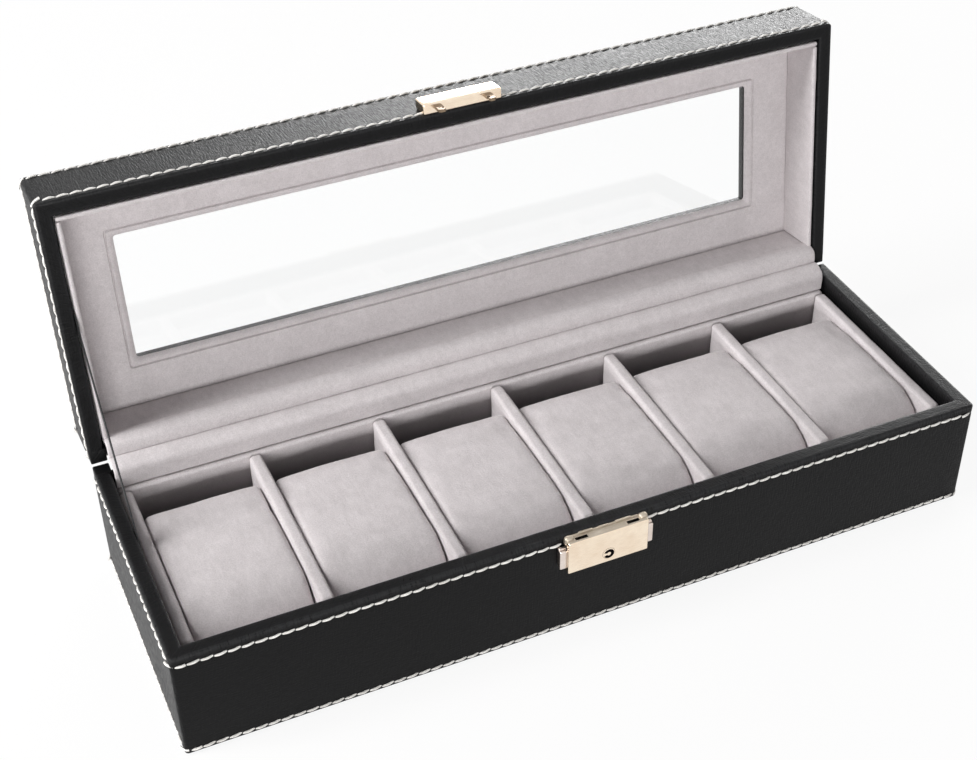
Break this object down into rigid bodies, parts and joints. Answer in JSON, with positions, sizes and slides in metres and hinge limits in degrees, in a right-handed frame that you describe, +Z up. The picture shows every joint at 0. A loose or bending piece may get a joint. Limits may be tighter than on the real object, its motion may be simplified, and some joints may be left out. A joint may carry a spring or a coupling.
{
  "type": "watch box",
  "caption": "Long hinged watch box in black stitched leather with a windowed lid, velvet tray with lift-out pillows, stay ribbon and a front lock with push tabs.",
  "frame": {"origin": "centre of the box's underside, on the surface it stands on", "axes": "+X along the box to the viewer's right, -Y to the front where the lock is, +Z up"},
  "size_m": [0.305, 0.1462, 0.1504],
  "materials": {
    "leather": "black imitation leather, fine cross grain, satin, white slanted stitching",
    "velvet": "pale grey short-pile velvet",
    "board": "plain fibreboard, hidden under the leather",
    "underside": "black felt sheet",
    "ribbon": "black woven ribbon",
    "pane": "clear",
    "lock_metal": "pale champagne plating, satin",
    "steel": "plain"
  },
  "bodies": {
    "base": {"base_underside_sheet": "underside", "base_floor_panel": "board", "base_left_panel": "board", "base_right_panel": "board", "base_front_panel": "board", "base_back_panel": "board", "base_leather_wrap": "leather", "tray_floor_board": "velvet", "tray_front_board": "velvet", "tray_back_board": "velvet", "tray_left_board": "velvet", "tray_right_board": "velvet", "divider_1": "velvet", "divider_2": "velvet", "divider_3": "velvet", "divider_4": "velvet", "divider_5": "velvet", "hinge_base_leaf_left": "steel", "hinge_base_leaf_right": "steel", "hinge_pin_left": "steel", "hinge_pin_right": "steel", "hinge_base_screws": "steel", "hinge_cover_velvet": "velvet", "lid_stay_ribbon": "ribbon", "lock_case": "lock_metal", "lock_rivets": "steel", "tab_spring_left": "steel", "tab_spring_right": "steel"},
    "lid": {"lid_top_panel": "board", "lid_left_panel": "board", "lid_right_panel": "board", "lid_front_panel": "board", "lid_back_panel": "board", "lid_leather_wrap": "leather", "window_pane": "pane", "window_card": "velvet", "lid_front_lining": "velvet", "lid_back_lining": "velvet", "lid_left_lining": "velvet", "lid_right_lining": "velvet", "hinge_lid_leaf_left": "steel", "hinge_lid_leaf_right": "steel", "hinge_lid_screws": "steel", "strike_plate": "lock_metal", "strike_rivets": "steel"},
    "pillow_1": {"watch_pillow_1": "velvet"},
    "pillow_2": {"watch_pillow_2": "velvet"},
    "pillow_3": {"watch_pillow_3": "velvet"},
    "pillow_4": {"watch_pillow_4": "velvet"},
    "pillow_5": {"watch_pillow_5": "velvet"},
    "pillow_6": {"watch_pillow_6": "velvet"},
    "release_tab_left": {"release_tab_left": "lock_metal"},
    "release_tab_right": {"release_tab_right": "lock_metal"},
    "lock_plug": {"lock_plug": "lock_metal"}
  },
  "joints": [
    {"name": "lid_hinge", "type": "hinge", "parent": "base", "child": "lid", "pos_m": [0, 0.051, 0.0455], "axis": [-1, 0, 0], "range_deg": [-98, 0], "deforming": ["hinge_cover_velvet", "lid_stay_ribbon"]},
    {"name": "pillow_1_lift", "type": "slide", "parent": "base", "child": "pillow_1", "axis": [0, 0, 1], "range_m": [0, 0.06]},
    {"name": "pillow_2_lift", "type": "slide", "parent": "base", "child": "pillow_2", "axis": [0, 0, 1], "range_m": [0, 0.06]},
    {"name": "pillow_3_lift", "type": "slide", "parent": "base", "child": "pillow_3", "axis": [0, 0, 1], "range_m": [0, 0.06]},
    {"name": "pillow_4_lift", "type": "slide", "parent": "base", "child": "pillow_4", "axis": [0, 0, 1], "range_m": [0, 0.06]},
    {"name": "pillow_5_lift", "type": "slide", "parent": "base", "child": "pillow_5", "axis": [0, 0, 1], "range_m": [0, 0.06]},
    {"name": "pillow_6_lift", "type": "slide", "parent": "base", "child": "pillow_6", "axis": [0, 0, 1], "range_m": [0, 0.06]},
    {"name": "release_tab_left_press", "type": "slide", "parent": "base", "child": "release_tab_left", "axis": [1, 0, 0], "range_m": [0, 0.002], "stiffness_N_per_m": 200, "springref_m": -0.001, "deforming": ["tab_spring_left"]},
    {"name": "release_tab_right_press", "type": "slide", "parent": "base", "child": "release_tab_right", "axis": [-1, 0, 0], "range_m": [0, 0.002], "stiffness_N_per_m": 200, "springref_m": -0.001, "deforming": ["tab_spring_right"]},
    {"name": "lock_plug_turn", "type": "hinge", "parent": "base", "child": "lock_plug", "pos_m": [0, -0.055, 0.03465], "axis": [0, 1, 0], "range_deg": [-90, 0]}
  ]
}
